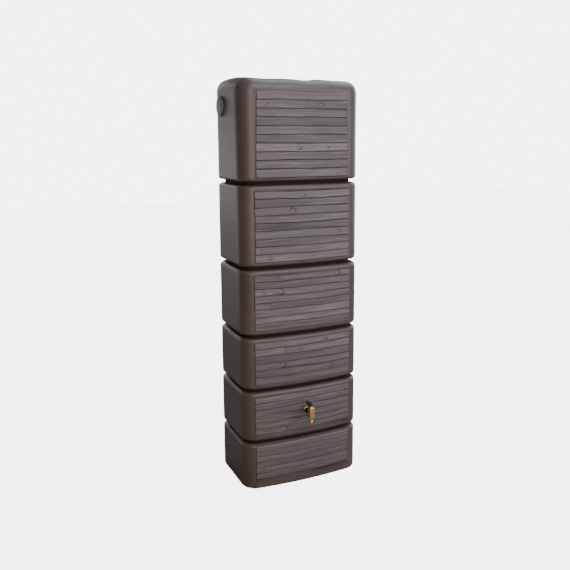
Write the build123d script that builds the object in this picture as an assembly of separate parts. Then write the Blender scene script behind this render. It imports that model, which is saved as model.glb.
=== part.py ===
from build123d import *
import math
import os

# Slim wall-standing rain barrel. Millimetres, +Z up, the plank-patterned front faces -Y.
# The origin is on the floor plane, midway between the flat back and the front corners.

# Tank outline
tank_width = 580.0
body_depth = 359.2
front_bow = 20.7
corner_radius = 71.0
tier_heights = [223.0, 244.0, 250.0, 308.0, 371.0, 444.0]
groove_gap = 17.0
groove_depth = 30.0
tier_low_radius = 13.0
tier_high_radius = 16.0
foot_edge_radius = 12.0
top_edge_radius = 55.0
wall = 4.0
tank_height = sum(tier_heights)

# The deck rises from the front edge in a long arc, so that rain runs off it
crown_rise = 14.0
crown_radius = 1400.0
crown_y = 60.0

# Filling neck and its screw lid, sunk in a round recess in the top
lid_y = -10.0
recess_radius = 125.0
recess_depth = 34.0
neck_outer_radius = 92.0
neck_inner_radius = 84.0
neck_rim_below_top = 10.0
lid_radius = 112.0
lid_edge_radius = 2.0
lid_top_below_top = 2.0
lid_plate = 4.0
lid_skirt_length = 22.0
lid_rim_length = 14.0
lid_thread_gap = 0.6
lid_seal_gap = 0.3
lid_seal_inset = 1.0
grip_pocket_radius = 68.0
grip_pocket_depth = 16.0
grip_bar_width = 22.0
lid_notches = 24
lid_notch_radius = 4.0

# Inlet ports, one high on each side wall, each closed by a screw cap
port_y = 68.0
port_z = 1731.0
port_bore_radius = 36.0
port_collar_wall = 4.0
port_collar_length = 18.0
cap_radius = 46.0
cap_thickness = 8.0
cap_cover = 3.0
cap_edge_radius = 5.0
cap_spigot_inner_radius = 32.0
cap_spigot_length = 10.0
cap_spigot_gap = 0.3
port_seal_thickness = 2.0
port_seal_outer_radius = 44.5

# Threaded brass bushes in the back wall, for a wall strap
wall_bush_spacing = 160.0
wall_bush_z = 1700.0
wall_bush_radius = 8.0
wall_bush_hole_radius = 4.0
wall_bush_length = 22.0
wall_bush_boss_radius = 12.0

# Brass tap on the second tier
tap_z = 353.0
tap_reach = 62.0
tap_insert_radius = 15.0
tap_insert_length = 24.0
tap_boss_radius = 20.0
tap_thread_radius = 10.4
tap_thread_length = 18.0
tap_flow_radius = 6.0
tap_washer_radius = 14.6
tap_washer_thickness = 2.0
tap_hex_radius = 16.0
tap_hex_length = 10.0
tap_barrel_radius = 11.0
chamber_width = 26.0
chamber_corner_radius = 3.5
chamber_edge_radius = 2.0
chamber_below = 18.0
chamber_above = 31.0
chamber_bore_radius = 10.0
chamber_bore_above = 13.5
ball_radius = 9.5
ball_port_radius = 5.0
seat_gap = 0.05
inlet_seat_radius = 7.8
inlet_seat_near = 6.5
inlet_seat_far = 12.0
outlet_seat_low = 11.5
outlet_seat_high = 6.5
retainer_thickness = 3.0
stem_radius = 4.0
stem_clearance = 0.05
stem_foot_radius = 6.0
stem_foot_thickness = 2.5
tongue_width = 3.0
tongue_depth = 2.5
tongue_length = 8.0
packing_radius = 7.0
packing_depth = 10.0
stem_seal_thickness = 3.0
gland_hex_radius = 9.5
gland_hex_height = 4.0
lever_gap = 1.0
lever_thickness = 8.0
lever_width = 12.0
lever_length = 50.0
lever_nose = 8.0
lever_edge_radius = 1.5
lever_square = 5.6
lever_square_below_top = 0.5
lever_screw_radius = 2.0
lever_screw_head_radius = 4.5
lever_screw_head_height = 3.0
lever_screw_head_edge = 1.0
lever_screw_socket_radius = 2.0
lever_screw_socket_depth = 2.0
lever_screw_length = 8.0
lever_screw_hole_spare = 1.0
grub_above_axis = 26.0
grub_x = 4.5
grub_radius = 2.0
grub_length = 5.5
grub_sunk = 0.5
grub_socket_radius = 1.2
grub_socket_depth = 2.0
nozzle_radius = 9.8
nozzle_end_chamfer = 1.0
nozzle_collar_radius = 11.8
nozzle_collar_height = 4.0
nozzle_washer_thickness = 1.0
nozzle_length = 24.0
small_gap = 0.1

front_y = -body_depth / 2 - front_bow
back_y = body_depth / 2
side_x = tank_width / 2
tap_axis_y = front_y - tap_reach
recess_floor_z = tank_height - recess_depth
neck_rim_z = tank_height - neck_rim_below_top
lid_top_z = tank_height - lid_top_below_top
lid_under_z = lid_top_z - lid_plate
deck_level = port_z + port_bore_radius + 2 * port_collar_wall

BOTTOM = (Align.CENTER, Align.CENTER, Align.MIN)


def up(radius, low, high, x=0.0, y=0.0):
    """A cylinder along Z."""
    return Pos(x, y, low) * Cylinder(radius, high - low, align=BOTTOM)


def along_y(radius, near, far, x, z):
    """A cylinder along +Y from near to far."""
    return Pos(x, near, z) * Rot(-90, 0, 0) * Cylinder(radius, far - near, align=BOTTOM)


def along_x(radius, near, far, y, z):
    """A cylinder along +X from near to far."""
    return Pos(near, y, z) * Rot(0, 90, 0) * Cylinder(radius, far - near, align=BOTTOM)


def up_ring(outer, inner, low, high, x=0.0, y=0.0):
    return up(outer, low, high, x, y) - up(inner, low, high, x, y)


def up_hexagon(radius, low, high, x, y):
    """A hexagonal prism along Z, radius measured to its corners."""
    return Pos(x, y, low) * extrude(RegularPolygon(radius, 6), high - low)


def outline(inset):
    """The tank's plan: flat back and sides, rounded corners, gently bowed front."""
    half_width = tank_width / 2 - inset
    half_depth = body_depth / 2 - inset
    with BuildSketch() as plan:
        with BuildLine():
            ThreePointArc(
                (-half_width, -half_depth), (0, -half_depth - front_bow), (half_width, -half_depth)
            )
            Polyline(
                (half_width, -half_depth),
                (half_width, half_depth),
                (-half_width, half_depth),
                (-half_width, -half_depth),
            )
        make_face()
        fillet(plan.vertices(), corner_radius - inset)
    return plan.sketch


def tier(inset, low, high, low_radius, high_radius):
    """One bulging section of the tank between two waists, its edges rounded."""
    block = Pos(0, 0, low) * extrude(outline(inset), high - low)
    block = fillet(block.faces().sort_by(Axis.Z)[0].edges(), low_radius)
    return fillet(block.faces().sort_by(Axis.Z)[-1].edges(), high_radius)


def top_tier(inset, low):
    """The highest section: its deck is part of a long cylinder that lies along X."""
    crest = tank_height + crown_rise
    deck = Pos(0, crown_y, crest - crown_radius) * Rot(0, 90, 0) * Cylinder(
        crown_radius - inset, 2 * tank_width
    )
    block = (Pos(0, 0, low) * extrude(outline(inset), crest - low)) & deck
    block = fillet(block.faces().sort_by(Axis.Z)[0].edges(), tier_low_radius - inset)
    return fillet(block.faces().sort_by(Axis.Z)[-1].edges(), top_edge_radius - inset)


def stack(inset):
    """All the tiers and the waists that join them, drawn in from the outside by inset."""
    core_low = groove_depth
    core_high = tank_height - top_edge_radius
    solid = Pos(0, 0, core_low) * extrude(outline(groove_depth + inset), core_high - core_low)
    level = 0.0
    for place, height in enumerate(tier_heights[:-1]):
        low_gap = 0.0 if place == 0 else groove_gap / 2
        low_radius = foot_edge_radius if place == 0 else tier_low_radius
        solid += tier(
            inset,
            level + low_gap + inset,
            level + height - groove_gap / 2 - inset,
            low_radius - inset,
            tier_high_radius - inset,
        )
        level += height
    return solid + top_tier(inset, level + groove_gap / 2 + inset)


def port_collar(side):
    """The threaded collar welded behind a side wall, which a port cap's spigot goes into."""
    near = side_x - port_collar_length
    far = side_x - wall
    collar = along_x(port_bore_radius + port_collar_wall, near, far, port_y, port_z)
    collar -= along_x(port_bore_radius, near, far, port_y, port_z)
    return collar if side > 0 else mirror(collar, about=Plane.YZ)


def port_hole(side):
    hole = along_x(port_bore_radius, side_x - 2 * wall, side_x + wall, port_y, port_z)
    return hole if side > 0 else mirror(hole, about=Plane.YZ)


def moulding():
    """The hollow moulding whole: tiers, waists, lid recess, port holes and bosses."""
    cavity = stack(wall)
    above_deck = tank_height + crown_rise + wall
    cavity -= up(recess_radius + wall, recess_floor_z - wall, above_deck, 0, lid_y)
    shell = stack(0.0) - cavity
    shell -= up(recess_radius, recess_floor_z, above_deck, 0, lid_y)
    shell -= up(neck_outer_radius, recess_floor_z - 2 * wall, tank_height, 0, lid_y)
    for side in (-1, 1):
        shell -= port_hole(side)
        bush_x = side * wall_bush_spacing / 2
        bush_start = back_y - wall_bush_length
        shell += along_y(wall_bush_boss_radius, bush_start, back_y - wall / 2, bush_x, wall_bush_z)
        shell -= along_y(
            wall_bush_radius + small_gap, bush_start - wall, back_y + wall, bush_x, wall_bush_z
        )
    boss_end = front_y + tap_insert_length
    shell += along_y(tap_boss_radius, front_y + wall / 2, boss_end, 0, tap_z)
    shell -= along_y(tap_insert_radius + small_gap, front_y - wall, boss_end + wall, 0, tap_z)
    return shell


def tank_shell():
    """The moulding as one node of solids that meet face to face at waists, ports and deck.

    The real tank has no joint there. The split keeps each solid simple enough to stay hollow
    when its walls are turned into convex pieces.
    """
    whole = moulding()
    levels = [sum(tier_heights[:count]) for count in range(len(tier_heights))]
    levels += [port_z, deck_level, tank_height + crown_rise]
    solids = []
    for low, high in zip(levels, levels[1:]):
        slab = Pos(0, 0, low) * Box(2 * tank_width, 2 * tank_width, high - low, align=BOTTOM)
        solids += (whole & slab).solids()
    return Compound(children=solids)


def neck_ring():
    """The threaded filling neck, moulded apart and welded into the recess's floor."""
    return up_ring(
        neck_outer_radius, neck_inner_radius, recess_floor_z - wall, neck_rim_z, 0, lid_y
    )


def wall_bushes():
    """Two moulded-in brass bushes for the strap that ties the tank to the wall."""
    bushes = []
    for side in (-1, 1):
        x = side * wall_bush_spacing / 2
        bush = along_y(wall_bush_radius, back_y - wall_bush_length, back_y, x, wall_bush_z)
        bush -= along_y(wall_bush_hole_radius, back_y - wall_bush_length, back_y, x, wall_bush_z)
        bushes.append(bush)
    return Compound(children=bushes)


def lid_notch_cuts():
    """The round cuts that give the lid's rim its grip."""
    centre_radius = lid_radius + lid_notch_radius / 2
    low = lid_top_z - 2 * lid_rim_length
    cuts = []
    for place in range(lid_notches):
        turn = 2 * math.pi * place / lid_notches
        x = centre_radius * math.cos(turn)
        y = lid_y + centre_radius * math.sin(turn)
        cuts.append(up(lid_notch_radius, low, lid_top_z + wall, x, y))
    return cuts


def lid():
    """A screw lid, whose plate, rim, skirt and barred finger pocket meet face to face."""
    cuts = lid_notch_cuts()
    pocket_outer = grip_pocket_radius + lid_plate
    pocket_floor = lid_top_z - grip_pocket_depth
    plate = up(lid_radius, lid_under_z, lid_top_z, 0, lid_y)
    plate = fillet(plate.edges().group_by(Axis.Z)[-1], lid_edge_radius)
    plate -= up(pocket_outer, lid_under_z, lid_top_z, 0, lid_y)
    rim = up_ring(
        lid_radius, lid_radius - 2 * wall, lid_top_z - lid_rim_length, lid_under_z, 0, lid_y
    )
    skirt_inner = neck_outer_radius + lid_thread_gap
    skirt = up_ring(
        skirt_inner + wall, skirt_inner, lid_under_z - lid_skirt_length, lid_under_z, 0, lid_y
    )
    pocket_wall = up_ring(pocket_outer, grip_pocket_radius, pocket_floor, lid_top_z, 0, lid_y)
    floor = up(pocket_outer, pocket_floor - lid_plate, pocket_floor, 0, lid_y)
    bar = Pos(0, lid_y, pocket_floor) * Box(
        grip_bar_width, 2 * grip_pocket_radius, grip_pocket_depth, align=BOTTOM
    )
    bar &= up(grip_pocket_radius, pocket_floor, lid_top_z, 0, lid_y)
    return Compound(children=[plate - cuts, rim - cuts, skirt, pocket_wall, floor, bar])


def lid_seal():
    return up_ring(
        neck_outer_radius - lid_seal_inset,
        neck_inner_radius + lid_seal_inset,
        neck_rim_z + lid_seal_gap,
        lid_under_z - small_gap,
        0,
        lid_y,
    )


def port_cap(side):
    """A screw cap, hollow behind its cover, with a rounded rim, a grip bar and a spigot."""
    inner = side_x + port_seal_thickness + small_gap
    outer = inner + cap_thickness
    cap = along_x(cap_radius, inner, outer, port_y, port_z)
    cap = fillet(cap.edges().group_by(Axis.X)[-1], cap_edge_radius)
    spigot_radius = port_bore_radius - cap_spigot_gap
    cap += along_x(spigot_radius, inner - cap_spigot_length, inner, port_y, port_z)
    cap -= along_x(
        cap_spigot_inner_radius, inner - cap_spigot_length, outer - cap_cover, port_y, port_z
    )
    return cap if side > 0 else mirror(cap, about=Plane.YZ)


def port_seal(side):
    ring = along_x(port_seal_outer_radius, side_x, side_x + port_seal_thickness, port_y, port_z)
    ring -= along_x(port_bore_radius, side_x, side_x + port_seal_thickness, port_y, port_z)
    return ring if side > 0 else mirror(ring, about=Plane.YZ)


def tap_insert():
    insert = along_y(tap_insert_radius, front_y, front_y + tap_insert_length, 0, tap_z)
    return insert - along_y(
        tap_thread_radius + small_gap, front_y, front_y + tap_insert_length, 0, tap_z
    )


def tap_washer():
    washer = along_y(tap_washer_radius, front_y - tap_washer_thickness, front_y, 0, tap_z)
    return washer - along_y(
        tap_thread_radius + small_gap, front_y - tap_washer_thickness, front_y, 0, tap_z
    )


def grub_bore(radius, near, far):
    """A cylinder on the grub screw's axis, which is level and a little right of the stem."""
    return along_y(radius, near, far, grub_x, tap_z + grub_above_axis)


def ball_space():
    return Pos(0, tap_axis_y, tap_z) * Sphere(ball_radius + seat_gap)


def tap_body():
    """The cast body: threaded spigot, hexagon, barrel and upright valve chamber."""
    hex_near = front_y - tap_washer_thickness
    hex_far = hex_near - tap_hex_length
    chamber_low = tap_z - chamber_below
    chamber_high = tap_z + chamber_above
    body = along_y(tap_thread_radius, hex_near, front_y + tap_thread_length, 0, tap_z)
    body += Pos(0, hex_near, tap_z) * Rot(90, 0, 0) * extrude(
        RegularPolygon(tap_hex_radius, 6), tap_hex_length
    )
    body += along_y(tap_barrel_radius, tap_axis_y, hex_far, 0, tap_z)
    chamber = Pos(0, tap_axis_y, chamber_low) * extrude(
        RectangleRounded(chamber_width, chamber_width, chamber_corner_radius),
        chamber_high - chamber_low,
    )
    body += fillet(chamber.edges().group_by(Axis.Z)[-1], chamber_edge_radius)
    body -= along_y(tap_flow_radius, tap_axis_y, front_y + tap_thread_length, 0, tap_z)
    body -= up(chamber_bore_radius, chamber_low, tap_z + chamber_bore_above, 0, tap_axis_y)
    body -= along_y(
        inlet_seat_radius + small_gap, tap_axis_y, tap_axis_y + inlet_seat_far, 0, tap_z
    )
    body -= up(stem_radius + stem_clearance, tap_z, chamber_high, 0, tap_axis_y)
    body -= up(packing_radius, chamber_high - packing_depth, chamber_high, 0, tap_axis_y)
    chamber_front = tap_axis_y - chamber_width / 2
    return body - grub_bore(grub_radius + seat_gap, chamber_front, tap_axis_y)


def tap_seat_inlet():
    near = tap_axis_y + inlet_seat_near
    far = tap_axis_y + inlet_seat_far
    seat = along_y(inlet_seat_radius, near, far, 0, tap_z)
    seat -= along_y(ball_port_radius, near, far, 0, tap_z)
    return seat - ball_space()


def tap_seat_outlet():
    seat = up_ring(
        chamber_bore_radius - small_gap,
        ball_port_radius,
        tap_z - outlet_seat_low,
        tap_z - outlet_seat_high,
        0,
        tap_axis_y,
    )
    return seat - ball_space() - along_y(
        inlet_seat_radius + small_gap, tap_axis_y, tap_axis_y + inlet_seat_far, 0, tap_z
    )


def tap_retainer():
    top = tap_z - outlet_seat_low
    return up_ring(
        chamber_bore_radius - small_gap,
        ball_port_radius,
        top - retainer_thickness,
        top,
        0,
        tap_axis_y,
    )


def stem_tongue(extra):
    top = tap_z + ball_radius
    size = (tongue_length + 2 * extra, tongue_width + 2 * extra, tongue_depth + extra)
    return Pos(0, tap_axis_y, top - tongue_depth - extra) * Box(*size, align=BOTTOM)


def tap_ball():
    """An L-port ball: its port turns from the inlet behind it to the outlet under it."""
    ball = Pos(0, tap_axis_y, tap_z) * Sphere(ball_radius)
    ball -= along_y(ball_port_radius, tap_axis_y, tap_axis_y + 2 * ball_radius, 0, tap_z)
    ball -= up(ball_port_radius, tap_z - 2 * ball_radius, tap_z, 0, tap_axis_y)
    ball -= Pos(0, tap_axis_y, tap_z) * Sphere(ball_port_radius)
    return ball - stem_tongue(seat_gap)


def tap_stem():
    foot_low = tap_z + ball_radius
    lever_low = lever_low_z()
    stem = stem_tongue(0.0)
    stem += up(stem_foot_radius, foot_low, foot_low + stem_foot_thickness, 0, tap_axis_y)
    stem += up(stem_radius, foot_low, lever_low, 0, tap_axis_y)
    stem += Pos(0, tap_axis_y, lever_low) * Box(
        lever_square, lever_square, lever_thickness - lever_square_below_top, align=BOTTOM
    )
    hole_end = lever_low + lever_thickness - lever_screw_length - lever_screw_hole_spare
    return stem - up(
        lever_screw_radius + seat_gap, hole_end, lever_low + lever_thickness, 0, tap_axis_y
    )


def tap_stem_seal():
    low = tap_z + chamber_above - packing_depth
    return up_ring(
        packing_radius - small_gap,
        stem_radius + stem_clearance,
        low,
        low + stem_seal_thickness,
        0,
        tap_axis_y,
    )


def tap_gland_nut():
    low = tap_z + chamber_above - packing_depth + stem_seal_thickness
    hex_low = tap_z + chamber_above
    nut = up(packing_radius - small_gap, low, hex_low, 0, tap_axis_y)
    nut += up_hexagon(gland_hex_radius, hex_low, hex_low + gland_hex_height, 0, tap_axis_y)
    return nut - up(
        stem_radius + stem_clearance, low, hex_low + gland_hex_height, 0, tap_axis_y
    )


def lever_low_z():
    return tap_z + chamber_above + gland_hex_height + lever_gap


def tap_lever():
    """A flat bar on the stem's square, pointing back over the barrel when the tap is open."""
    low = lever_low_z()
    with BuildPart() as bar:
        with BuildSketch(Plane.XY.offset(low)):
            with Locations((0, tap_axis_y + (lever_length - lever_nose) / 2)):
                SlotOverall(lever_length + lever_nose, lever_width, rotation=90)
        extrude(amount=lever_thickness)
        fillet(bar.edges().group_by(Axis.Z)[-1], lever_edge_radius)
    hole = lever_square + 2 * seat_gap
    lever = bar.part - Pos(0, tap_axis_y, low) * Box(hole, hole, lever_thickness, align=BOTTOM)
    return lever


def tap_lever_screw():
    head_low = lever_low_z() + lever_thickness
    top = head_low + lever_screw_head_height
    screw = up(lever_screw_radius, head_low - lever_screw_length, head_low, 0, tap_axis_y)
    head = up(lever_screw_head_radius, head_low, top, 0, tap_axis_y)
    screw += fillet(head.edges().group_by(Axis.Z)[-1], lever_screw_head_edge)
    socket_floor = top - lever_screw_socket_depth
    return screw - up_hexagon(lever_screw_socket_radius, socket_floor, top, 0, tap_axis_y)


def tap_grub_screw():
    """The socket-headed screw that stops the gland nut from turning."""
    near = tap_axis_y - chamber_width / 2 + grub_sunk
    screw = grub_bore(grub_radius, near, near + grub_length)
    socket = Pos(grub_x, near + grub_socket_depth, tap_z + grub_above_axis) * Rot(90, 0, 0)
    return screw - socket * extrude(RegularPolygon(grub_socket_radius, 6), grub_socket_depth)


def tap_nozzle_washer():
    top = tap_z - chamber_below
    return up_ring(
        nozzle_collar_radius,
        chamber_bore_radius,
        top - nozzle_washer_thickness,
        top,
        0,
        tap_axis_y,
    )


def tap_nozzle():
    """The smooth outlet tail that a hose pushes onto, screwed up into the chamber."""
    collar_top = tap_z - chamber_below - nozzle_washer_thickness
    collar_low = collar_top - nozzle_collar_height
    end = tap_z - chamber_below - nozzle_length
    spigot_top = tap_z - outlet_seat_low - retainer_thickness - small_gap
    nozzle = up(chamber_bore_radius - small_gap, collar_top, spigot_top, 0, tap_axis_y)
    nozzle += up(nozzle_collar_radius, collar_low, collar_top, 0, tap_axis_y)
    tail = up(nozzle_radius, end, collar_low, 0, tap_axis_y)
    nozzle += chamfer(tail.edges().group_by(Axis.Z)[0], nozzle_end_chamfer)
    return nozzle - up(tap_flow_radius, end, spigot_top, 0, tap_axis_y)


parts = {
    "tank_shell": tank_shell(),
    "neck_ring": neck_ring(),
    "wall_bushes": wall_bushes(),
    "left_port_collar": port_collar(-1),
    "right_port_collar": port_collar(1),
    "lid": lid(),
    "lid_seal": lid_seal(),
    "left_port_cap": port_cap(-1),
    "left_port_seal": port_seal(-1),
    "right_port_cap": port_cap(1),
    "right_port_seal": port_seal(1),
    "tap_insert": tap_insert(),
    "tap_washer": tap_washer(),
    "tap_body": tap_body(),
    "tap_seat_inlet": tap_seat_inlet(),
    "tap_seat_outlet": tap_seat_outlet(),
    "tap_retainer": tap_retainer(),
    "tap_ball": tap_ball(),
    "tap_stem": tap_stem(),
    "tap_stem_seal": tap_stem_seal(),
    "tap_gland_nut": tap_gland_nut(),
    "tap_lever": tap_lever(),
    "tap_lever_screw": tap_lever_screw(),
    "tap_grub_screw": tap_grub_screw(),
    "tap_nozzle_washer": tap_nozzle_washer(),
    "tap_nozzle": tap_nozzle(),
}

os.makedirs("parts", exist_ok=True)
for name, solid in parts.items():
    export_step(solid, f"parts/{name}.step")
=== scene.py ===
import math
import bmesh
import bpy
import numpy as np
from mathutils import Matrix, Vector


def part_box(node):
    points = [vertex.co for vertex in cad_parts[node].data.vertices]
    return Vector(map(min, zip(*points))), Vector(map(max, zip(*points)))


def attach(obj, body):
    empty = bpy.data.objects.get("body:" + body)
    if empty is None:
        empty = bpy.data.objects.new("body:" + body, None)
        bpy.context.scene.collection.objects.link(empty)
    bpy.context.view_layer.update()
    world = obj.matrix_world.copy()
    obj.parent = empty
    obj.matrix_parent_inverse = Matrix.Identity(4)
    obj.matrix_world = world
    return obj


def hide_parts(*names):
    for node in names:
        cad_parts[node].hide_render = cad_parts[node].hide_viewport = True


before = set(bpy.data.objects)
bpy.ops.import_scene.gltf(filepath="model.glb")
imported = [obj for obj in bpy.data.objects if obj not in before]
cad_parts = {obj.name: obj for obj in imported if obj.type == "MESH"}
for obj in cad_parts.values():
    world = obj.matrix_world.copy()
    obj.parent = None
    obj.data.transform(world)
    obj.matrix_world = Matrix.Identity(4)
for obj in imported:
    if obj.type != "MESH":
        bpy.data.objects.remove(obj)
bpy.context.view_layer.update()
MM = 0.001

# ---------------------------------------------------------------- tank sizes, in metres
shell_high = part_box("tank_shell")[1]
HALF_WIDTH = shell_high.x
HALF_DEPTH = shell_high.y
FRONT_BOW = 20.7 * MM
CORNER = 71 * MM
WALL = 4 * MM
GROOVE_DEPTH = 30 * MM
HALF_GAP = 8.5 * MM
LOW_EDGE = 13 * MM
HIGH_EDGE = 16 * MM
FOOT_EDGE = 12 * MM
TOP_EDGE = 55 * MM
WAIST_FILLET = 3 * MM
TIER_HEIGHTS = [h * MM for h in (223, 244, 250, 308, 371, 444)]
CROWN_TOP = shell_high.z
CROWN_RADIUS = 1.4
CROWN_Y = 60 * MM

# Plank panels from the bottom tier up: how far the panel reaches left and right of the
# middle and its distance from the tier's low and high ends, in mm, and its number of boards.
PANELS = [
    (240, 229, 50, 14, 6),
    (243, 234, 40, 29, 6),
    (240, 234, 28, 24, 6),
    (238, 234, 28, 31, 8),
    (232, 227, 27, 35, 9),
    (222, 216, 23, 53, 10),
]
# The highest panel is this much wider at its foot than at its head, on each side.
TOP_PANEL_SPREAD = 7 * MM
# The tone of each board from the bottom up, 0 dark to 1 light.
TONES = [
    (0.35, 0.55, 0.30, 0.50, 0.40, 0.60),
    (0.30, 0.50, 0.35, 0.45, 0.30, 0.65),
    (0.40, 0.30, 0.55, 0.35, 0.60, 0.50),
    (0.35, 0.55, 0.70, 0.25, 0.45, 0.60, 0.40, 0.35),
    (0.75, 0.55, 0.20, 0.70, 0.15, 0.45, 0.65, 0.20, 0.70),
    (0.60, 0.35, 0.45, 0.95, 0.25, 0.55, 0.15, 0.50, 0.35, 0.70),
]
# Knots by tier from the bottom up: board, distance across the panel from 0 to 1, size in mm.
KNOTS = [
    ((4, 0.42, 5), (3, 0.64, 4), (1, 0.06, 5)),
    ((0, 0.28, 9), (4, 0.88, 6), (4, 0.25, 4)),
    ((2, 0.27, 10), (4, 0.45, 6), (1, 0.77, 7), (5, 0.72, 5)),
    ((5, 0.25, 11), (7, 0.22, 6), (7, 0.85, 8), (5, 0.08, 5), (2, 0.03, 4)),
    ((8, 0.48, 7), (6, 0.38, 9), (3, 0.88, 6), (0, 0.14, 6)),
    ((8, 0.09, 7), (8, 0.69, 8), (3, 0.44, 8), (3, 0.76, 5), (9, 0.54, 5)),
]
# Butt joints by tier from the bottom up: board and distance across the panel.
JOINTS = [(), (), ((4, 0.29),), ((3, 0.15),), ((1, 0.05),), ()]
BOARD_PROUD = 3.2 * MM
BOARD_BACK = 0.3 * MM
GAP_DEEP = 1.6 * MM
GRAIN_RELIEF = 0.40 * MM
# Where a board's rows lie up its height: close together at its two edges.
BOARD_ROWS = np.concatenate(
    [[0.0, 0.03, 0.06], np.linspace(0.1, 0.88, 9), [0.92, 0.95, 0.975, 0.992]]
)
FRONT_STEP = 3 * MM
FINE_STEP = 1.2 * MM
FINE_FROM = 204 * MM
# Where the points of a front corner lie along it: close together near the panel's end.
FRONT_CORNER = np.concatenate([np.linspace(0, 0.22, 20)[1:], np.linspace(0.22, 1, 12)[1:-1]])
BACK_CORNER = np.linspace(0, 1, 14)[1:-1]
TAP_TIER = 1
# Painted shade in the waist grooves between the tiers: 1 paints them near black.
WAIST_SHADE = 1.0
HUMP_HEIGHT = 1.9 * MM
HUMP_PITCH = 171 * MM
HUMP_SHIFT = 48 * MM
RECESS = 125 * MM
SIDE_STEPS = 14
BACK_STEPS = 25
FLOOR_INSETS = [inset * MM for inset in (165, 120, 75, 40)]
WORDS = {-1: "left", 1: "right"}

# ---------------------------------------------------------------- fittings, in metres
PORT_BORE = 36 * MM
THREAD_PITCH = 3.6 * MM
NECK_PITCH = 9 * MM
BUSH_HOLE = 8.1 * MM
LID_SCALLOPS = 24
POCKET_RADIUS = 67 * MM
GRIP_HALF = 11 * MM
CAP_RIBS = 36
# Grip rims from the back to the face: inset, height from the top or start, and depth, in mm.
LID_RIM = [(1.2, -14, 2.6), (0.3, -13.2, 2.9), (0, -12, 3), (0, -4, 3), (0.4, -2.2, 2.8),
           (1.4, -0.8, 2.3), (3.2, 0, 1.6)]
CAP_RIM = [(1, 0, 0.2), (0.2, 0.6, 0.6), (0, 1.4, 0.8), (0, 2.8, 0.8), (0.7, 4.2, 0.5), (2, 5.4, 0.2)]
TAP_AROUND = 96
CHAMBER_HALF = 13 * MM
CHAMBER_CORNER = 3.5 * MM

# ---------------------------------------------------------------- small tools


def smoothstep(low, high, value):
    t = np.clip((value - low) / (high - low), 0.0, 1.0)
    return t * t * (3 - 2 * t)


def lattice_noise(x, y, rng, size=64):
    """Smooth 2-D noise between -1 and 1, one cell per unit."""
    table = rng.uniform(-1, 1, (size, size))
    x0 = np.floor(x).astype(int)
    y0 = np.floor(y).astype(int)
    fx = x - x0
    fy = y - y0
    fx = fx * fx * (3 - 2 * fx)
    fy = fy * fy * (3 - 2 * fy)
    a = table[x0 % size, y0 % size]
    b = table[(x0 + 1) % size, y0 % size]
    c = table[x0 % size, (y0 + 1) % size]
    d = table[(x0 + 1) % size, (y0 + 1) % size]
    return (a * (1 - fx) + b * fx) * (1 - fy) + (c * (1 - fx) + d * fx) * fy


def finish_mesh(mesh, sharp_deg):
    mesh.polygons.foreach_set("use_smooth", np.ones(len(mesh.polygons), bool))
    mesh.set_sharp_from_angle(angle=math.radians(sharp_deg))
    mesh.update()


def new_object(name, data):
    obj = bpy.data.objects.new(name, data)
    bpy.context.scene.collection.objects.link(obj)
    return obj


def skin(name, rings, closed, attributes=None, sharp_deg=35):
    """A surface through rings of equal length. A ring of one repeated point is a pole."""
    rings = np.array(rings, float)
    count, around = rings.shape[:2]
    points = rings.reshape(-1, 3)
    row = np.arange(count if closed else count - 1)
    next_row = (row + 1) % count
    column = np.arange(around)
    next_column = (column + 1) % around
    faces = np.stack(
        [
            (row[:, None] * around + column[None, :]).ravel(),
            (row[:, None] * around + next_column[None, :]).ravel(),
            (next_row[:, None] * around + next_column[None, :]).ravel(),
            (next_row[:, None] * around + column[None, :]).ravel(),
        ],
        axis=1,
    )
    mesh = bpy.data.meshes.new(name)
    mesh.from_pydata(points.tolist(), [], faces.tolist())
    for key, values in (attributes or {}).items():
        kind = "FLOAT_VECTOR" if values.ndim == 2 else "FLOAT"
        layer = mesh.attributes.new(key, kind, "POINT")
        layer.data.foreach_set("vector" if values.ndim == 2 else "value", values.ravel())
    tidy_mesh(mesh)
    finish_mesh(mesh, sharp_deg)
    return new_object(name, mesh)


def tidy_mesh(mesh):
    """Merges the points that fall together and turns every face outwards."""
    work = bmesh.new()
    work.from_mesh(mesh)
    bmesh.ops.remove_doubles(work, verts=work.verts, dist=1e-7)
    bmesh.ops.dissolve_degenerate(work, edges=work.edges, dist=1e-8)
    bmesh.ops.recalc_face_normals(work, faces=work.faces)
    work.to_mesh(mesh)
    work.free()


def boolean(obj, other, operation="DIFFERENCE"):
    """Cuts other out of obj, or joins it on, and deletes other."""
    step = obj.modifiers.new("step", "BOOLEAN")
    step.operation = operation
    step.solver = "EXACT"
    step.object = other
    bpy.context.view_layer.update()
    graph = bpy.context.evaluated_depsgraph_get()
    mesh = bpy.data.meshes.new_from_object(obj.evaluated_get(graph))
    mesh.name = obj.name
    obj.modifiers.clear()
    obj.data = mesh
    bpy.data.objects.remove(other)


def place(points, centre, axis):
    """Turns rings made along +Z so that they run along axis from centre."""
    turn = Vector((0, 0, 1)).rotation_difference(Vector(axis)).to_matrix()
    return np.asarray(points) @ np.array(turn).T + np.array(centre)


def angles(around):
    return np.linspace(0, 2 * math.pi, around, endpoint=False)


def polar_ring(radii, height):
    """A ring whose radius at each angle is given."""
    turn = angles(len(radii))
    return np.stack([radii * np.cos(turn), radii * np.sin(turn), np.full(len(radii), height)], 1)


def round_ring(radius, height, around):
    return polar_ring(np.full(around, radius), height)


def turned(pairs, around):
    """Round rings from (radius, height) pairs."""
    return [round_ring(radius, height, around) for radius, height in pairs]


def in_mm(pairs, height=0.0, radius=0.0):
    """(radius, height) pairs given in millimetres past a height and a radius in metres."""
    return [(radius + r * MM, height + h * MM) for r, h in pairs]


def upright(name, rings, middle, closed, sharp_deg):
    """A skin through rings round Z, moved over to the middle's X and Y."""
    shift = np.array([middle[0], middle[1], 0])
    return skin(name, [ring + shift for ring in rings], closed, sharp_deg=sharp_deg)


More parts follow.
